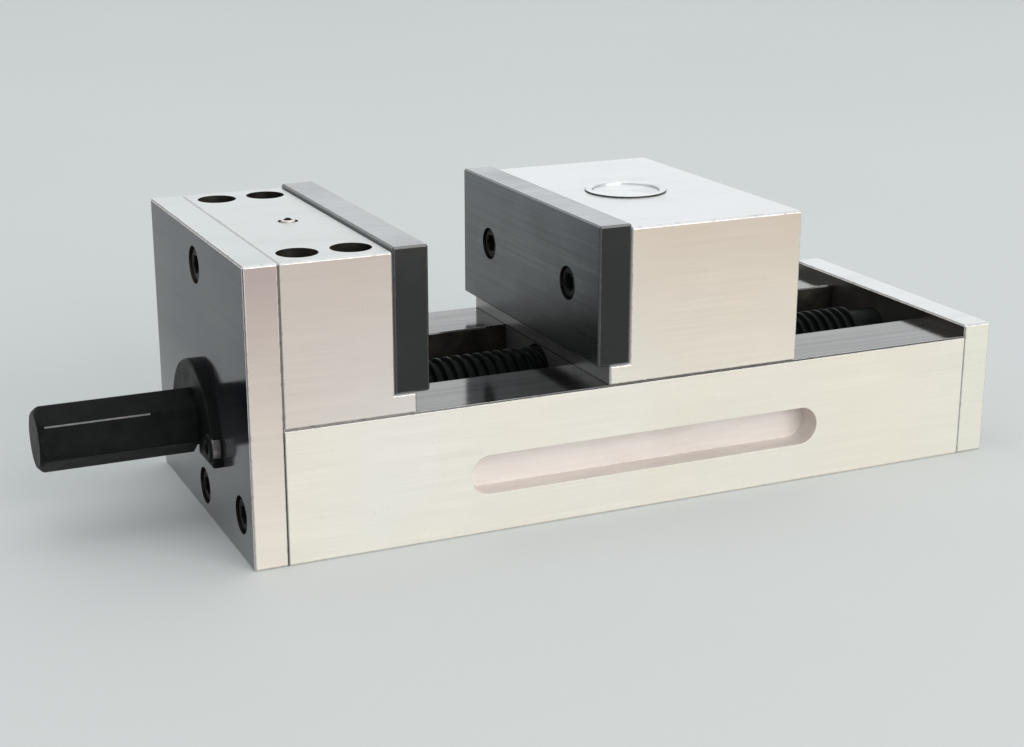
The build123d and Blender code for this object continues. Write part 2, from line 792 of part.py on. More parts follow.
with BuildPart() as fixed_jaw_dowels:
    with Locations(*pair(dowel_station, jaw_bolt_y, base_height - dowel_depth)):
        Cylinder(dowel_radius, dowel_length, align=AXIS_CENTRE)
    chamfer(fixed_jaw_dowels.edges().filter_by(GeomType.CIRCLE), edge_break)
fixed_jaw_dowels.part.label = "fixed_jaw_dowels"
export_step(fixed_jaw_dowels.part, "parts/fixed_jaw_dowels.step")

# ================================================================ oiler
# A push-in oiler over the screw: a cup whose collar stands proud of the jaw, a
# ball that shuts its mouth, and a spring.
oiler_bottom = jaw_top - oiler_length
oiler_cup_height = 7.7
oiler_collar_height = 8.5
oiler_collar_radius = 2.1
oiler_bore_height = 8.25
oiler_bore_radius = 1.6
oiler_mouth_radius = 1.35
oiler_ball_radius = 1.5
oiler_ball_z = jaw_top - 0.45
spring_wire_radius = 0.2
spring_radius = 1.1
spring_pitch = 0.9
spring_height = 5.4
spring_bottom = oiler_bottom + 0.3

with BuildPart() as oiler_cup:
    with Locations((oiler_station, 0, oiler_bottom)):
        Cylinder(oiler_radius, oiler_cup_height, align=AXIS_CENTRE)
        Cylinder(oiler_collar_radius, oiler_collar_height, align=AXIS_CENTRE)
        Cylinder(oiler_bore_radius, oiler_bore_height, align=AXIS_CENTRE, mode=Mode.SUBTRACT)
        Cylinder(oiler_mouth_radius, oiler_collar_height, align=AXIS_CENTRE, mode=Mode.SUBTRACT)
oiler_cup.part.label = "oiler_cup"
export_step(oiler_cup.part, "parts/oiler_cup.step")

with BuildPart() as oiler_ball:
    with Locations((oiler_station, 0, oiler_ball_z)):
        Sphere(oiler_ball_radius)
oiler_ball.part.label = "oiler_ball"
export_step(oiler_ball.part, "parts/oiler_ball.step")

with BuildPart() as oiler_spring:
    with BuildLine() as spring_line:
        coil = Helix(
            pitch=spring_pitch,
            height=spring_height,
            radius=spring_radius,
            center=(oiler_station, 0, spring_bottom),
        )
    with BuildSketch(Plane(origin=coil @ 0, z_dir=coil % 0)):
        Circle(spring_wire_radius)
    sweep(path=spring_line.line, is_frenet=True)
oiler_spring.part.label = "oiler_spring"
export_step(oiler_spring.part, "parts/oiler_spring.step")
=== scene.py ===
import json
import math
import random

import bmesh
import bpy
from mathutils import Matrix, Vector


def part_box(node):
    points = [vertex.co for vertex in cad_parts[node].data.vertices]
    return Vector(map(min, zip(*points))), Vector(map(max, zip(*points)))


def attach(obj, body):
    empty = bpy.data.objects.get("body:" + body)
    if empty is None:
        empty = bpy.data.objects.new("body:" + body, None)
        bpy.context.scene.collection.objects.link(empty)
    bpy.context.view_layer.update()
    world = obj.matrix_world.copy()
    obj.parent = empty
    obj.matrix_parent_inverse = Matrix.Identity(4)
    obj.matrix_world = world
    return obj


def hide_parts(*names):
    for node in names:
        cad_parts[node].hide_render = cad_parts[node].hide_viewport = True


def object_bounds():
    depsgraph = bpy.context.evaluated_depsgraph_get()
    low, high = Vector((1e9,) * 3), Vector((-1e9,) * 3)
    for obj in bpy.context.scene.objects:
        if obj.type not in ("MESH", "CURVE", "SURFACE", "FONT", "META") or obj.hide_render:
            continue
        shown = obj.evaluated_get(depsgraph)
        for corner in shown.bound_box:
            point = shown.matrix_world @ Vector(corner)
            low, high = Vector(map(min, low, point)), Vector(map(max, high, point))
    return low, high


# Looks of a precision screw vise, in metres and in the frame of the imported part. +X runs along the
# lead screw from the hexagon drive end to the end plate, -Y is the near side, +Z is up, and the base
# stands on z = 0. Each CAD node that can be seen is stood for by a piece with worn, rounded edges,
# or by a turned piece with its knurling, socket or thread cut in full.

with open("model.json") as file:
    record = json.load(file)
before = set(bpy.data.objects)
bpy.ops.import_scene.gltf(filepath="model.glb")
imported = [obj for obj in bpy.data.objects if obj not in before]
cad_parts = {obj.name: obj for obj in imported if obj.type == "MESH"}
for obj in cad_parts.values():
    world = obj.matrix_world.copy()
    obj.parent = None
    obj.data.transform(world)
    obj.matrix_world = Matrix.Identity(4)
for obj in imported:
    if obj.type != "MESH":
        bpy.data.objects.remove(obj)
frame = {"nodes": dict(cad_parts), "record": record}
cad_low, cad_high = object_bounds()
random.seed(11)

MM = 0.001
WELD = 2e-6
ROUND_STEPS = 144
bodies = frame["record"]["behaviour"]["bodies"]
slots = {part["node"]: part["material_slot"] for part in frame["record"]["subparts"]}
bed_low, bed_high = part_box("base_body")
seat_height = bed_high.z
bed_front = bed_low.x
bed_back = bed_high.x
jaw_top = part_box("fixed_jaw")[1].z


# ---------------------------------------------------------------- node materials
class Surface:
    """A short way to write one node material round a Principled shader."""

    def __init__(self, name, metallic, specular=0.5):
        self.material = bpy.data.materials.new(name)
        self.material.use_nodes = True
        self.tree = self.material.node_tree
        self.shader = self.tree.nodes["Principled BSDF"]
        self.shader.inputs["Metallic"].default_value = metallic
        self.shader.inputs["Specular IOR Level"].default_value = specular
        self.coords = self.node("TexCoord")

    def node(self, kind, inputs=(), **settings):
        made = self.tree.nodes.new("ShaderNode" + kind)
        for key, value in settings.items():
            setattr(made, key, value)
        for socket, value in dict(inputs).items():
            self.feed(made.inputs[socket], value)
        return made

    def feed(self, socket, value):
        if isinstance(value, bpy.types.NodeSocket):
            self.tree.links.new(value, socket)
        else:
            socket.default_value = value

    def math(self, operation, first, second=0.0):
        return self.node("Math", {0: first, 1: second}, operation=operation).outputs[0]

    def remap(self, value, low, high, to_low=0.0, to_high=1.0):
        """Value from low..high to to_low..to_high, held at the ends."""
        sockets = {"Value": value, "From Min": low, "From Max": high, "To Min": to_low, "To Max": to_high}
        return self.node("MapRange", sockets).outputs["Result"]

    def mix(self, share, first, second, blend="MIX"):
        """First and second colour mixed by share."""
        sockets = {0: share, 6: first, 7: second}
        return self.node("Mix", sockets, data_type="RGBA", blend_type=blend).outputs[2]

    def stretched(self, stretch):
        """The place on the part, with each axis scaled."""
        sockets = {"Vector": self.coords.outputs["Object"], "Scale": stretch}
        return self.node("Mapping", sockets).outputs["Vector"]

    def noise(self, vector, scale, detail, roughness):
        sockets = {"Vector": vector, "Scale": scale, "Detail": detail, "Roughness": roughness}
        return self.node("TexNoise", sockets).outputs["Fac"]

    def grain(self, scale, detail, roughness):
        """Noise with no direction, in cycles per metre."""
        return self.noise(self.coords.outputs["Object"], scale, detail, roughness)

    def facing(self):
        """How far the surface looks along each axis of the part: three signed shares."""
        return self.node("SeparateXYZ", {0: self.coords.outputs["Normal"]}).outputs

    def place(self):
        return self.node("SeparateXYZ", {0: self.coords.outputs["Object"]}).outputs

    def finish(self, colour, roughness, height, strength, depth):
        """Colour, roughness and a bump from height, in metres of depth."""
        self.feed(self.shader.inputs["Base Color"], colour)
        self.feed(self.shader.inputs["Roughness"], roughness)
        bump = self.node("Bump", {"Height": height, "Strength": strength, "Distance": depth})
        self.feed(self.shader.inputs["Normal"], bump.outputs["Normal"])
        return self.material


def shade(red, green, blue):
    return (red, green, blue, 1.0)


def ground_lines(surface, fine=1500.0, run=22.0):
    """Fine scratches left by grinding: along X on flanks and tops, along Y on the ends."""
    normal_x = surface.math("ABSOLUTE", surface.facing()[0])
    on_end = surface.remap(normal_x, 0.6, 0.8)
    along_x = surface.stretched((run, fine, fine))
    along_y = surface.stretched((fine, run, fine))
    vector = surface.mix(on_end, along_x, along_y)
    return surface.noise(vector, 1.0, 4.0, 0.6)


def ground_steel(name, low, high, top, end=None, roughness=(0.40, 0.34, 0.30), scraped=False, seated=False):
    """Ground tool steel. Its flanks are tinted from the low to the high parts, which paints in shade that
    deepens towards the top. The tops and the -X ends have tints of their own, which paint in the light and
    shade those faces catch, and roughness is that of the flanks, tops and -X ends. Scraped tops are
    streaked along X. A seated block has a dark line of painted shadow and oil at its seat."""
    surface = Surface(name, metallic=0.8, specular=0.2)
    normal = surface.facing()
    where = surface.place()
    at_top = surface.remap(normal[2], 0.45, 0.65)
    at_end = surface.remap(normal[0], -0.6, -0.8)
    lines = ground_lines(surface)
    tarnish = surface.noise(surface.stretched((1.0, 1.0, 0.5)), 17.0, 2.0, 0.5)
    clouds = surface.grain(26.0, 4.0, 0.6)
    smears = surface.noise(surface.stretched((0.35, 1.0, 1.0)), 90.0, 5.0, 0.65)
    specks = surface.grain(1400.0, 2.0, 0.5)

    # Painted shade: the flank colour runs from the low tint to the darker high tint with height.
    colour = surface.mix(surface.remap(where[2], 0.0, jaw_top), low, high)
    colour = surface.mix(surface.remap(tarnish, 0.35, 0.65), colour, shade(1.0, 0.975, 0.93), "MULTIPLY")
    if scraped:
        streaks = surface.noise(surface.stretched((9.0, 420.0, 420.0)), 1.0, 3.0, 0.5)
        dimmed = [0.72 * channel for channel in top[:3]]
        top = surface.mix(surface.remap(streaks, 0.40, 0.62), top, shade(*dimmed))
        metal = surface.remap(at_top, 0.0, 1.0, 0.8, 0.95)
        surface.feed(surface.shader.inputs["Metallic"], metal)
    # Painted light and shade: the tops take a tint of their own.
    colour = surface.mix(at_top, colour, top)
    if end:
        # Painted light and shade: the -X ends take the end tint, with a paler grey low down.
        end_shading = surface.mix(surface.remap(where[2], 0.010, 0.050), shade(0.25, 0.255, 0.26), end)
        colour = surface.mix(at_end, colour, end_shading)
    colour = surface.mix(surface.remap(lines, 0.3, 0.7, 0.06, 0.0), colour, shade(0.30, 0.28, 0.25))
    colour = surface.mix(surface.remap(clouds, 0.4, 0.75, 0.0, 0.07), colour, shade(0.52, 0.47, 0.40))
    colour = surface.mix(surface.remap(smears, 0.56, 0.72, 0.0, 0.08), colour, shade(0.36, 0.34, 0.31))
    colour = surface.mix(surface.remap(specks, 0.67, 0.75, 0.0, 0.25), colour, shade(0.16, 0.14, 0.12))
    # Painted shadow and oil: dark lines at the joints and the seat.
    colour = surface.mix(joint_shadow_and_oil(surface, where, at_top, seated), colour, shade(0.07, 0.06, 0.05))

    dull = surface.remap(at_top, 0.0, 1.0, roughness[0], roughness[1])
    dull = surface.node("Mix", {0: at_end, 2: dull, 3: roughness[2]}, data_type="FLOAT").outputs[0]
    dull = surface.math("ADD", dull, surface.remap(lines, 0.3, 0.7, -0.03, 0.05))
    dull = surface.math("ADD", dull, surface.remap(smears, 0.5, 0.75, 0.0, 0.08))
    return surface.finish(colour, dull, lines, 0.18, 0.00003)


def joint_shadow_and_oil(surface, where, at_top, seated):
    """Painted shadow and oil in the joints: thin dark lines where the end pieces meet the bed, and along
    the seat of a jaw.
    """
    joints = [(where[0], bed_front, 0.8), (where[0], bed_back, 0.25)]
    if seated:
        joints.append((where[2], seat_height, 0.8))
    share = 0.0
    for along, station, most in joints:
        away = surface.math("ABSOLUTE", surface.math("SUBTRACT", along, station))
        share = surface.math("MAXIMUM", share, surface.remap(away, 0.15 * MM, 0.35 * MM, most, 0.0))
    return surface.math("MULTIPLY", share, surface.remap(at_top, 0.0, 1.0, 1.0, 0.0))


def milled_steel(name, tint):
    """Milled slot: even, dull and a little rosy, with the marks of the cutter running along it."""
    surface = Surface(name, metallic=0.5)
    marks = surface.noise(surface.stretched((60.0, 900.0, 900.0)), 1.0, 3.0, 0.5)
    oil = surface.noise(surface.stretched((0.4, 1.0, 1.0)), 80.0, 5.0, 0.65)
    colour = surface.mix(surface.remap(marks, 0.35, 0.7, 0.0, 0.12), tint, shade(0.40, 0.34, 0.31))
    colour = surface.mix(surface.remap(oil, 0.45, 0.75, 0.0, 0.25), colour, shade(0.42, 0.36, 0.32))
    dull = surface.remap(oil, 0.3, 0.7, 0.50, 0.64)
    return surface.finish(colour, dull, marks, 0.3, 0.00004)


def dark_bore_shade(name, tint):
    """Painted shade for bores, the channel and other places that the grinder doesn't reach: a near-black
    tint with tool marks and old oil.
    """
    surface = Surface(name, metallic=0.6)
    marks = surface.noise(surface.stretched((900.0, 900.0, 2200.0)), 1.0, 3.0, 0.5)
    oil = surface.grain(110.0, 5.0, 0.65)
    colour = surface.mix(surface.remap(oil, 0.35, 0.7), tint, shade(0.05, 0.045, 0.035))
    dull = surface.remap(oil, 0.3, 0.7, 0.30, 0.52)
    return surface.finish(colour, dull, marks, 0.35, 0.00005)


def worn_steel(name, tint, roughness):
    """Bare bright metal where an edge has been rubbed, with small nicks."""
    surface = Surface(name, metallic=0.85)
    nicks = surface.grain(420.0, 5.0, 0.7)
    colour = surface.mix(surface.remap(nicks, 0.5, 0.72), tint, shade(0.20, 0.18, 0.16))
    dull = surface.remap(nicks, 0.3, 0.7, roughness - 0.06, roughness + 0.12)
    return surface.finish(colour, dull, nicks, 0.5, 0.00006)


def oxide_plate(name):
    """Hardened plate, blued dark. Its gripping faces are ground, with painted light that makes them
    brighter towards the top, and the top itself is bare."""
    surface = Surface(name, metallic=0.9)
    lines = ground_lines(surface, 1100.0, 14.0)
    clouds = surface.grain(38.0, 4.0, 0.6)
    normal = surface.facing()
    on_face = surface.remap(surface.math("ABSOLUTE", normal[0]), 0.6, 0.8)
    on_top = surface.remap(normal[2], 0.6, 0.8)
    # Painted light: the gripping faces lighten from the seat to the top.
    face_light_rise = surface.remap(surface.place()[2], seat_height, jaw_top)
    face = surface.mix(face_light_rise, shade(0.125, 0.130, 0.129), shade(0.148, 0.161, 0.173))
    colour = surface.mix(on_face, shade(0.038, 0.040, 0.039), face)
    colour = surface.mix(on_top, colour, shade(0.40, 0.41, 0.42))
    colour = surface.mix(surface.remap(lines, 0.35, 0.7, 0.0, 0.16), colour, shade(0.03, 0.03, 0.03))
    colour = surface.mix(surface.remap(clouds, 0.5, 0.8, 0.0, 0.25), colour, shade(0.10, 0.085, 0.07))
    dull = surface.remap(lines, 0.3, 0.7, 0.24, 0.34)
    dull = surface.math("ADD", dull, surface.remap(clouds, 0.4, 0.8, 0.0, 0.10))
    return surface.finish(colour, dull, lines, 0.2, 0.00003)


def turned_black(name, tint, roughness):
    """Blackened steel off the lathe: rings round the screw's axis, oily patches, a little dust."""
    surface = Surface(name, metallic=0.15, specular=0.05)
    rings = surface.noise(surface.stretched((2600.0, 60.0, 60.0)), 1.0, 3.0, 0.5)
    patches = surface.grain(140.0, 5.0, 0.65)
    dust = surface.grain(1900.0, 2.0, 0.5)
    colour = surface.mix(surface.remap(patches, 0.35, 0.7), tint, shade(0.010, 0.011, 0.0105))
    colour = surface.mix(surface.remap(dust, 0.68, 0.78, 0.0, 0.25), colour, shade(0.07, 0.07, 0.065))
    dull = surface.remap(patches, 0.3, 0.7, roughness - 0.07, roughness + 0.10)
    return surface.finish(colour, dull, surface.math("ADD", rings, patches), 0.2, 0.00004)


def bronze_metal(name):
    """Oiled bearing bronze, browner where the oil has sat."""
    surface = Surface(name, metallic=1.0)
    turned_marks = surface.noise(surface.stretched((1800.0, 40.0, 40.0)), 1.0, 3.0, 0.5)
    stains = surface.grain(120.0, 5.0, 0.6)
    colour = surface.mix(surface.remap(stains, 0.4, 0.7), shade(0.62, 0.36, 0.13), shade(0.30, 0.16, 0.06))
    dull = surface.remap(stains, 0.3, 0.7, 0.28, 0.5)
    return surface.finish(colour, dull, turned_marks, 0.3, 0.00004)


def bright_steel(name, tint, roughness):
    """Polished hard steel with fine random scratches."""
    surface = Surface(name, metallic=1.0)
    scratches = surface.noise(surface.stretched((1700.0, 120.0, 1700.0)), 1.0, 4.0, 0.6)
    film = surface.grain(160.0, 4.0, 0.6)
    colour = surface.mix(surface.remap(film, 0.45, 0.8, 0.0, 0.5), tint, shade(0.34, 0.31, 0.27))
    dull = surface.remap(scratches, 0.3, 0.7, roughness - 0.05, roughness + 0.10)
    return surface.finish(colour, dull, scratches, 0.25, 0.00002)


def faced_steel(name, tint, roughness, centre):
    """Steel faced on a lathe round an upright line: fine rings, and faint grey sectors painted in as the
    sheen of the rings.
    """
    surface = Surface(name, metallic=0.9)
    where = surface.place()
    away = surface.node("CombineXYZ", {0: surface.math("SUBTRACT", where[0], centre.x), 1: where[1]})
    away = away.outputs["Vector"]
    reach = surface.node("VectorMath", {0: away}, operation="LENGTH").outputs["Value"]
    spoke = surface.node("VectorMath", {0: away}, operation="NORMALIZE").outputs["Vector"]
    ring_place = surface.node("CombineXYZ", {0: surface.math("MULTIPLY", reach, 2400.0)}).outputs["Vector"]
    rings = surface.noise(ring_place, 1.0, 3.0, 0.5)
    # Painted reflection: grey sectors by direction round the centre stand in for the sheen of the turned
    # rings.
    sheen_sectors = surface.noise(spoke, 1.6, 2.0, 0.5)
    film = surface.grain(160.0, 4.0, 0.6)
    colour = surface.mix(surface.remap(sheen_sectors, 0.45, 0.62, 0.0, 0.30), tint, shade(0.46, 0.47, 0.50))
    colour = surface.mix(surface.remap(rings, 0.35, 0.65, 0.0, 0.10), colour, shade(0.40, 0.39, 0.38))
    colour = surface.mix(surface.remap(film, 0.5, 0.8, 0.0, 0.25), colour, shade(0.60, 0.58, 0.54))
    dull = surface.remap(film, 0.3, 0.7, roughness - 0.04, roughness + 0.08)
    return surface.finish(colour, dull, rings, 0.25, 0.00003)


def concrete_floor(name):
    """Pale studio floor with a barely visible tooth."""
    surface = Surface(name, metallic=0.0, specular=0.2)
    tooth = surface.grain(700.0, 3.0, 0.5)
    tone = surface.grain(2.0, 2.0, 0.5)
    pale = shade(0.560, 0.581, 0.575)
    colour = surface.mix(surface.remap(tone, 0.3, 0.7), shade(0.545, 0.566, 0.560), pale)
    return surface.finish(colour, surface.remap(tooth, 0.3, 0.7, 0.75, 0.85), tooth, 0.1, 0.0002)


white = shade(0.71, 0.72, 0.72)
ivory = shade(0.79, 0.75, 0.69)
bright_ivory = shade(0.89, 0.86, 0.80)
# Painted shade: the near-black tint of the front plate's -X end.
dark_end_shade = shade(0.004, 0.009, 0.024)
plug_low, plug_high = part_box("plug_ring")
materials = {
    "ground_steel": ground_steel("ground_steel", bright_ivory, ivory, white),
    "jaw_plate_black_oxide": oxide_plate("jaw_plate_black_oxide"),
    "screw_black_oxide": turned_black("screw_black_oxide", shade(0.004, 0.005, 0.005), 0.42),
    "fastener_black_oxide": turned_black("fastener_black_oxide", shade(0.008, 0.008, 0.009), 0.38),
    "bearing_steel": bright_steel("bearing_steel", shade(0.74, 0.73, 0.71), 0.20),
    "bronze": bronze_metal("bronze"),
    "keeper_steel": bright_steel("keeper_steel", shade(0.50, 0.49, 0.47), 0.38),
    "plug_steel": faced_steel("plug_steel", shade(0.74, 0.76, 0.77), 0.30, (plug_low + plug_high) / 2),
}
# Pieces with a finish of their own. The bed's rails are scraped to a mirror and given a dark top tint
# that paints in shade, the drive end of the front plate is lapped and painted near black with shade,
# the -X ends of the end plate and the moving jaw carry painted shade too, the jaws and the front plate
# have painted shade that darkens them towards their tops, and the oiler's ball is dark.
own_material = {
    "base_body": ground_steel(
        "bed_steel",
        bright_ivory,
        shade(0.76, 0.71, 0.64),
        # Painted shade: the dark grey of the bed's scraped tops.
        shade(0.17, 0.17, 0.17),
        roughness=(0.40, 0.09, 0.30),
        scraped=True,
        seated=True,
    ),
    "front_plate": ground_steel(
        "front_plate_steel",
        shade(0.92, 0.86, 0.80),
        shade(0.41, 0.33, 0.315),
        shade(0.58, 0.61, 0.61),
        end=dark_end_shade,
        roughness=(0.40, 0.34, 0.12),
    ),
    "end_plate": ground_steel(
        "end_plate_steel",
        shade(0.85, 0.84, 0.77),
        shade(0.78, 0.76, 0.68),
        white,
        # Painted shade: the near-black tint of the end plate's -X face.
        end=shade(0.020, 0.019, 0.018),
    ),
    "fixed_jaw": ground_steel(
        "fixed_jaw_steel",
        shade(0.83, 0.79, 0.76),
        shade(0.52, 0.455, 0.42),
        shade(0.60, 0.62, 0.61),
        seated=True,
    ),
    "oiler_ball": turned_black("oiler_ball_black", shade(0.012, 0.012, 0.013), 0.25),
    "moving_jaw": ground_steel(
        "moving_jaw_steel",
        shade(0.93, 0.92, 0.86),
        shade(0.61, 0.53, 0.46),
        shade(0.715, 0.73, 0.74),
        # Painted shade: the grey of the moving jaw's -X faces.
        end=shade(0.38, 0.38, 0.365),
        seated=True,
    ),
}
edge_material = {
    "ground_steel": worn_steel("ground_steel_edge", shade(0.76, 0.73, 0.69), 0.30),
    "jaw_plate_black_oxide": worn_steel("jaw_plate_edge", shade(0.10, 0.10, 0.10), 0.34),
    # Painted highlight on the lead screw's hexagon corner.
    "screw_black_oxide": worn_steel("screw_corner_highlight", shade(0.13, 0.13, 0.13), 0.34),
    # Wear and painted highlight on the knurled bands of the cap screws.
    "fastener_black_oxide": worn_steel("fastener_knurl_wear_and_highlight", shade(0.12, 0.12, 0.12), 0.34),
}
# Painted shade inside bores, the channel and the plug ring's proud wall.
inside_material = {
    "ground_steel": dark_bore_shade("bore_shade_steel", shade(0.014, 0.013, 0.012)),
    "jaw_plate_black_oxide": dark_bore_shade("bore_shade_plate", shade(0.010, 0.010, 0.010)),
    "plug_steel": dark_bore_shade("plug_wall_shade", shade(0.030, 0.030, 0.032)),
}
slot_material = milled_steel("milled_steel", shade(0.74, 0.69, 0.655))


# ---------------------------------------------------------------- pieces
MAIN, EDGE, INSIDE, SLOT = range(4)


def body_of(node):
    return next(body for body, nodes in bodies.items() if node in nodes)


def show(shape, node, sharp_angle=32.0):
    """Turns a bmesh into the piece that stands for a CAD node."""
    bmesh.ops.recalc_face_normals(shape, faces=shape.faces)
    mesh = bpy.data.meshes.new(node + "_look")
    shape.to_mesh(mesh)
    shape.free()
    for layer in ("custom_normal", "sharp_face"):
        if layer in mesh.attributes:
            mesh.attributes.remove(mesh.attributes[layer])
    slot = slots[node]
    main = own_material.get(node, materials[slot])
    mesh.materials.append(main)
    mesh.materials.append(edge_material.get(slot, main))
    mesh.materials.append(inside_material.get(slot, main))
    mesh.materials.append(slot_material)
    mesh.shade_smooth()
    mesh.set_sharp_from_angle(angle=math.radians(sharp_angle))
    piece = bpy.data.objects.new(node + "_look", mesh)
    bpy.context.scene.collection.objects.link(piece)
    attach(piece, body_of(node))
    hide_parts(node)
    return piece


def round_edges(piece, width):
    bevel = piece.modifiers.new("edge", "BEVEL")
    bevel.width = width
    bevel.segments = 2
    bevel.limit_method = "WEIGHT"
    bevel.harden_normals = True
    bevel.use_clamp_overlap = True
    bevel.material = EDGE


def refine(node, width, slot_depth=0.0):
    """The CAD shape of a node with its tessellation merged into clean faces, its edges rounded, and
    every face inside its box marked as a bore, or as a slot if it lies close below a flank."""
    shape = bmesh.new()
    shape.from_mesh(frame["nodes"][node].data)
    bmesh.ops.remove_doubles(shape, verts=shape.verts, dist=WELD)
    bmesh.ops.dissolve_limit(shape, angle_limit=math.radians(1.0), verts=shape.verts, edges=shape.edges)
    low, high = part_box(node)
    inset = 0.7 * MM
    for face in shape.faces:
        centre = face.calc_center_median()
        inside = all(low[axis] + inset < centre[axis] < high[axis] - inset for axis in range(3))
        in_slot = abs(centre.y) > high.y - slot_depth
        if inside:
            face.material_index = SLOT if in_slot else INSIDE
    weight = shape.edges.layers.float.new("bevel_weight_edge")
    for edge in shape.edges:
        at_bore = any(face.material_index == INSIDE for face in edge.link_faces)
        if not at_bore and edge.calc_face_angle(0.0) > math.radians(30.0):
            edge[weight] = 1.0
    round_edges(show(shape, node), width)


def solids(node):
    """The box of each separate solid of a CAD node, in a fixed order."""
    shape = bmesh.new()
    shape.from_mesh(frame["nodes"][node].data)
    bmesh.ops.remove_doubles(shape, verts=shape.verts, dist=WELD)
    left = set(shape.verts)
    boxes = []
    while left:
        group = [left.pop()]
        for vert in group:
            for edge in vert.link_edges:
                other = edge.other_vert(vert)
                if other in left:
                    left.remove(other)
                    group.append(other)
        low = Vector([min(vert.co[axis] for vert in group) for axis in range(3)])
        high = Vector([max(vert.co[axis] for vert in group) for axis in range(3)])
        boxes.append((low, high))
    shape.free()
    return sorted(boxes, key=lambda box: tuple(box[0]))


def turned(shape, profile, count, matrix, closed=False):
    """Adds a solid turned round the matrix's Z axis to a bmesh. The profile lists (height, radius)
    from one end to the other; a radius is a number or a function of the angle, and 0 shuts an end.
    Gives the new faces."""
    rings = []
    faces = []
    for height, radius in profile:
        ring = []
        for step in range(count if radius else 1):
            angle = 2 * math.pi * step / count
            reach = radius(angle) if callable(radius) else radius
            spot = Vector((reach * math.cos(angle), reach * math.sin(angle), height))
            ring.append(shape.verts.new(matrix @ spot))
        rings.append(ring)
    if closed:
        rings.append(rings[0])
    for last, ring in zip(rings, rings[1:]):
        for step in range(count):
            corners = [last[step % len(last)], last[(step + 1) % len(last)]]
            corners += [ring[(step + 1) % len(ring)], ring[step % len(ring)]]
            faces.append(shape.faces.new(list(dict.fromkeys(corners))))
    return faces


def hexagon(across_flats, phase=0.0):
    """Radius of a hexagon by angle, with a corner at the phase."""
    def radius(angle):
        turn = (angle - phase) % (math.pi / 3) - math.pi / 6
        return across_flats / 2 / math.cos(turn)
    return radius


def knurl(radius, depth, count):
    """Radius of a straight knurl whose ridges fall on every other step of a ring."""
    return lambda angle: radius - depth * (round(angle * count / (2 * math.pi)) % 2)


def cap_screw(shape, matrix, radius, length, head_radius, head_height, socket):
    """Socket head cap screw, seated on the matrix's origin. Its knurled band takes the bright edge steel,
    which is wear and a painted highlight together.
    """
    ridges = 108
    floor = 0.45 * head_height
    ribbed = knurl(head_radius, 0.16 * MM, ridges)
    recess = hexagon(socket)
    faces = turned(
        shape,
        [
            (-length, 0),
            (-length, radius - 0.5 * MM),
            (-length + 0.5 * MM, radius),
            (0, radius),
            (0, head_radius - 0.4 * MM),
            (0.3 * MM, head_radius - 0.1 * MM),
            (0.45 * MM, ribbed),
            (head_height - 1.0 * MM, ribbed),
            (head_height - 0.85 * MM, head_radius - 0.12 * MM),
            (head_height - 0.4 * MM, head_radius - 0.2 * MM),
            (head_height - 0.1 * MM, head_radius - 0.45 * MM),
            (head_height, head_radius - 0.8 * MM),
            (head_height, socket / 2 + 0.55 * MM),
            (head_height - 0.3 * MM, recess),
            (floor, recess),
            (floor - 0.5 * MM, 0),
        ],
        ridges,
        matrix,
    )
    # Wear and painted highlight: the whole knurled band of the head is bright.
    back = matrix.inverted()
    for face in faces:
        centre = back @ face.calc_center_median()
        if centre.z > 0.3 * MM and centre.xy.length > head_radius - 0.15 * MM:
            face.material_index = EDGE


def seat(point, direction, spin):
    """The place of a screw: its seat on the point, its head towards the direction, turned by the spin."""
    toward = Vector(direction).to_track_quat("Z", "Y").to_matrix().to_4x4()
    return Matrix.Translation(point) @ toward @ Matrix.Rotation(spin, 4, "Z")


def cap_screws(node, direction, head_height, socket):
    """Every screw of a CAD node, each with its socket at its own angle."""
    shape = bmesh.new()
    toward = Vector(direction)
    axis = max(range(3), key=lambda index: abs(direction[index]))
    for low, high in solids(node):
        centre = (low + high) / 2
        reach = (high[axis] - low[axis]) / 2
        head_radius = (high[(axis + 1) % 3] - low[(axis + 1) % 3]) / 2
        top = centre + toward * reach
        place = seat(top - toward * head_height, direction, random.uniform(0, math.pi / 3))
        shank = 0.6 * head_radius
        cap_screw(shape, place, shank, 2 * reach - head_height, head_radius, head_height, socket)
    show(shape, node)


# The solid blocks: ground parts, hardened plates and keepers.
for ground in ("front_plate", "end_plate", "fixed_jaw", "moving_jaw"):
    refine(ground, 0.14 * MM)
refine("base_body", 0.14 * MM, slot_depth=15.0 * MM)
for plate in ("fixed_jaw_plate", "moving_jaw_plate"):
    refine(plate, 0.12 * MM)
refine("retainer_plate", 0.15 * MM)

# The cap screws.
m6_head = 6.0 * MM
m6_socket = 5.0 * MM
cap_screws("fixed_jaw_screws", (0, 0, 1), m6_head, m6_socket)
cap_screws("front_plate_screws", (-1, 0, 0), m6_head, m6_socket)
cap_screws("end_plate_screws", (1, 0, 0), m6_head, m6_socket)
cap_screws("fixed_plate_screws", (1, 0, 0), m6_head, m6_socket)
cap_screws("moving_plate_screws", (-1, 0, 0), m6_head, m6_socket)
cap_screws("retainer_screws", (-1, 0, 0), 3.5 * MM, 3.0 * MM)

# ---------------------------------------------------------------- the lead screw
screw_low, screw_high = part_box("lead_screw")
collar_low, collar_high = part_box("lock_collar")
retainer_low, retainer_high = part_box("retainer_plate")
axis_height = (collar_low.z + collar_high.z) / 2
thread_pitch = 3.5 * MM
thread_radius = 9.0 * MM
core_radius = 7.1 * MM
bare_core_radius = core_radius - 0.03 * MM
journal_radius = 10.0 * MM
neck_radius = 7.6 * MM
tail_radius = 7.0 * MM
hex_across_flats = 17.0 * MM
hex_corner = hex_across_flats / math.sqrt(3)
hex_corner_angle = math.radians(90.0 - 7.7)
hex_end = retainer_low.x - 0.1 * MM
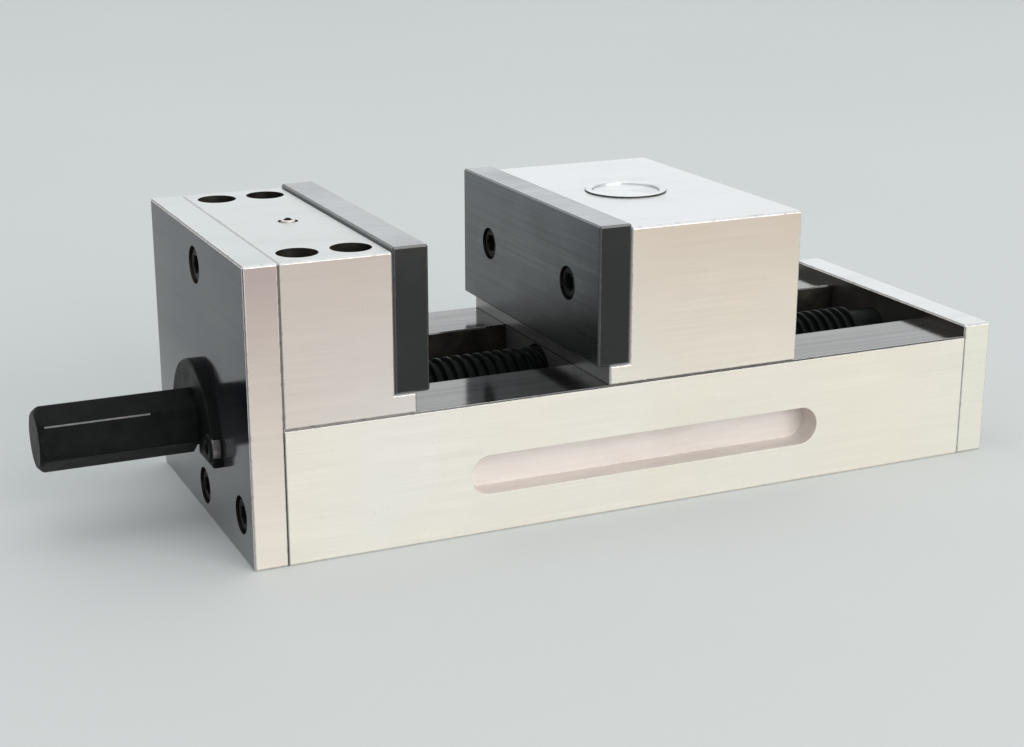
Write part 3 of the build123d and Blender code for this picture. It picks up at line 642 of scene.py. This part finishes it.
# Painted highlight: the near upper corner of the hexagon is bright as far as here.
highlight_end = screw_low.x + 0.7 * (hex_end - screw_low.x)
neck_end = retainer_high.x + 0.1 * MM
journal_end = bed_front + 14.5 * MM
thread_start = journal_end + 3.0 * MM
thread_end = bed_back - 9.5 * MM
core_end = thread_end + 3.0 * MM
steps_per_turn = 72

# Local X, Y and Z of a turned piece on the screw's line: across, up, and along the screw.
on_screw = Matrix(((0, 0, 1, 0), (1, 0, 0, 0), (0, 1, 0, axis_height), (0, 0, 0, 1)))


def drive_end(shape):
    """The hexagon with its lathe chamfer, the neck that the retainer holds, the journal, the core and
    the tail, in one turned body."""
    flats = hexagon(hex_across_flats, hex_corner_angle)

    def chamfered(cut):
        return lambda angle: min(flats(angle), hex_corner - cut)

    turned(
        shape,
        [
            (screw_low.x, 0),
            (screw_low.x, chamfered(1.75 * MM)),
            (screw_low.x + 0.45 * MM, chamfered(1.25 * MM)),
            (screw_low.x + 1.1 * MM, chamfered(0.6 * MM)),
            (screw_low.x + 1.8 * MM, flats),
            (highlight_end, flats),
            (hex_end, flats),
            (hex_end, neck_radius),
            (neck_end, neck_radius),
            (neck_end, journal_radius),
            (journal_end - 0.6 * MM, journal_radius),
            (journal_end, journal_radius - 0.6 * MM),
            (journal_end, bare_core_radius),
            (core_end, bare_core_radius),
            (core_end, tail_radius),
            (screw_high.x - 1.0 * MM, tail_radius),
            (screw_high.x, tail_radius - 1.0 * MM),
            (screw_high.x, 0),
        ],
        120,
        on_screw,
    )


def thread(shape):
    """One closed ridge that winds along the screw: root, flank, rounded crest and flank, with its foot
    sunk in the core and its ends faded out."""
    profile = [
        (0.0, 0.0),
        (0.20, 0.0),
        (0.29, 0.16),
        (0.40, 0.93),
        (0.45, 1.0),
        (0.65, 1.0),
        (0.70, 0.93),
        (0.81, 0.16),
        (0.90, 0.0),
    ]
    depth = thread_radius - core_radius
    foot = core_radius - 0.5 * MM
    fade_rows = 20
    turns = (thread_end - thread_start) / thread_pitch - 1
    total = int(turns * steps_per_turn)
    rows = []
    for row in range(total + 1):
        angle = 2 * math.pi * row / steps_per_turn
        fade = min(1.0, row / fade_rows, (total - row) / fade_rows)
        root = core_radius - 0.1 * MM * (1 - fade)
        section = [(share, root + depth * rise * fade) for share, rise in profile]
        section = [(profile[0][0], foot)] + section + [(profile[-1][0], foot)]
        ring = []
        for share, reach in section:
            along = thread_start + thread_pitch * (row / steps_per_turn + share)
            spot = Vector((reach * math.cos(angle), reach * math.sin(angle), along))
            ring.append(shape.verts.new(on_screw @ spot))
        rows.append(ring)
    for here, ahead in zip(rows, rows[1:]):
        for index in range(len(here)):
            shape.faces.new((here[index - 1], here[index], ahead[index], ahead[index - 1]))
    shape.faces.new(rows[0])
    shape.faces.new(rows[-1])


def corner_highlight(shape):
    """Marks the corner of the hexagon high on the near side for the bright edge steel: a painted highlight.
    """
    for face in shape.faces:
        centre = face.calc_center_median()
        rise = centre.z - axis_height
        on_corner = centre.x < highlight_end and math.hypot(centre.y, rise) > 0.975 * hex_corner
        if on_corner and centre.y < 0 < rise:
            face.material_index = EDGE


screw_shape = bmesh.new()
drive_end(screw_shape)
thread(screw_shape)
corner_highlight(screw_shape)
show(screw_shape, "lead_screw", 24.0)


# ---------------------------------------------------------------- collars, plug and oiler
def collar(node, bore, rounding):
    """A turned ring on the screw's line, rounded at its corners."""
    low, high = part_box(node)
    outer = (high.y - low.y) / 2
    profile = [(low.x, bore), (low.x, outer - rounding)]
    profile += [(low.x + rounding * 0.3, outer - rounding * 0.3), (low.x + rounding, outer)]
    profile += [(high.x - rounding * 0.5, outer), (high.x, outer - rounding * 0.5), (high.x, bore)]
    shape = bmesh.new()
    turned(shape, profile, ROUND_STEPS, on_screw, closed=True)
    show(shape, node)


collar("lock_collar", journal_radius, 0.4 * MM)


def upright(node):
    """The line and height range of a node that stands upright."""
    low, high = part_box(node)
    return Matrix.Translation(((low.x + high.x) / 2, (low.y + high.y) / 2, 0)), low.z, high.z


def plug_pieces():
    """The ring that stands proud of the moving jaw's top, with painted shade on its proud outer wall, and
    the plug in it.
    """
    place, bottom, top = upright("plug_ring")
    outer = (plug_high.x - plug_low.x) / 2
    inner = 10.75 * MM
    shape = bmesh.new()
    turned(
        shape,
        [
            (bottom, inner),
            (bottom, outer),
            (jaw_top, outer),
            (top - 0.15 * MM, outer),
            (top, outer - 0.15 * MM),
            (top, inner + 0.25 * MM),
            (top - 0.25 * MM, inner),
        ],
        ROUND_STEPS,
        place,
        closed=True,
    )
    # Painted shade: the ring's wall above the jaw top takes the dark inside material.
    for face in shape.faces:
        centre = face.calc_center_median()
        reach = math.hypot(centre.x - place.translation.x, centre.y)
        if reach > outer - 0.2 * MM and centre.z > jaw_top:
            face.material_index = INSIDE
    show(shape, "plug_ring")

    place, bottom, top = upright("top_plug")
    stem = 5.5 * MM
    shoulder = top - 14.0 * MM
    shape = bmesh.new()
    turned(
        shape,
        [
            (bottom, 0),
            (bottom, stem),
            (shoulder, stem),
            (shoulder, inner),
            (top - 0.3 * MM, inner),
            (top, inner - 0.3 * MM),
            (top, 0),
        ],
        ROUND_STEPS,
        place,
    )
    show(shape, "top_plug")


plug_pieces()


def oiler():
    """The push-in oiler: a cup whose bright collar stands proud of the jaw, and the ball in its mouth."""
    place, bottom, top = upright("oiler_cup")
    bore = 1.6 * MM
    outer = 3.0 * MM
    mouth = 1.35 * MM
    rim = 2.1 * MM
    lip = 0.25 * MM
    shoulder = jaw_top - 0.3 * MM
    shape = bmesh.new()
    turned(
        shape,
        [
            (bottom, bore),
            (bottom, outer),
            (shoulder, outer),
            (shoulder, rim),
            (top - lip, rim),
            (top - 0.3 * lip, rim - 0.3 * lip),
            (top, rim - lip),
            (top, mouth + 0.4 * lip),
            (top - 0.4 * lip, mouth),
            (top - lip, mouth),
            (top - lip, bore),
        ],
        96,
        place,
        closed=True,
    )
    for face in shape.faces:
        if face.calc_center_median().z > shoulder + WELD:
            face.material_index = SLOT
    show(shape, "oiler_cup")

    place, bottom, top = upright("oiler_ball")
    radius = (top - bottom) / 2
    bands = 24
    profile = [(bottom, 0)]
    for band in range(1, bands):
        angle = math.pi * band / bands
        profile.append((bottom + radius * (1 - math.cos(angle)), radius * math.sin(angle)))
    profile.append((top, 0))
    shape = bmesh.new()
    turned(shape, profile, 48, place)
    show(shape, "oiler_ball")


oiler()

# Everything that stays as the CAD has it takes the material of its slot.
for node, part in frame["nodes"].items():
    if not part.hide_render:
        part.data.materials.clear()
        part.data.materials.append(materials[slots[node]])

# ---------------------------------------------------------------- stage, light and camera
floor_shape = bmesh.new()
bmesh.ops.create_grid(floor_shape, x_segments=12, y_segments=12, size=8.0)
floor_mesh = bpy.data.meshes.new("floor")
floor_shape.to_mesh(floor_mesh)
floor_shape.free()
floor_mesh.materials.append(concrete_floor("floor"))
floor = bpy.data.objects.new("floor", floor_mesh)
floor.location.z = cad_low.z
bpy.context.scene.collection.objects.link(floor)


def softbox(name, place, target, width, height, watts, tint):
    light = bpy.data.lights.new(name, "AREA")
    light.shape = "RECTANGLE"
    light.size = width
    light.size_y = height
    light.energy = watts
    light.color = tint
    lamp = bpy.data.objects.new(name, light)
    lamp.location = place
    lamp.rotation_mode = "QUATERNION"
    lamp.rotation_quaternion = (Vector(target) - Vector(place)).to_track_quat("-Z", "Y")
    bpy.context.scene.collection.objects.link(lamp)


middle = (cad_low + cad_high) / 2
softbox("light_top", (0.15, 0.3, 3.0), middle, 3.6, 3.0, 22.0, (1.0, 1.0, 1.0))
softbox("light_front", (0.9, -3.2, 1.4), middle, 3.0, 2.0, 82.0, (1.0, 0.985, 0.96))
softbox("light_back", (2.2, 4.0, 1.5), middle, 7.0, 2.4, 22.0, (1.0, 1.0, 1.0))

world = bpy.data.worlds.new("studio")
world.use_nodes = True
world.node_tree.nodes["Background"].inputs["Color"].default_value = (0.95, 0.98, 1.0, 1.0)
world.node_tree.nodes["Background"].inputs["Strength"].default_value = 0.78
bpy.context.scene.world = world
bpy.context.scene.view_settings.view_transform = "Standard"

lens = bpy.data.cameras.new("camera")
lens.sensor_width = 36.0
lens.lens = 63.81
lens.clip_start = 0.01
camera = bpy.data.objects.new("camera", lens)
camera.location = (-0.2524, -0.5032, 0.1998)
camera.rotation_mode = "QUATERNION"
camera.rotation_quaternion = Vector((0.39605, 0.87058, -0.29195)).to_track_quat("-Z", "Y")
bpy.context.scene.collection.objects.link(camera)
bpy.context.scene.camera = camera
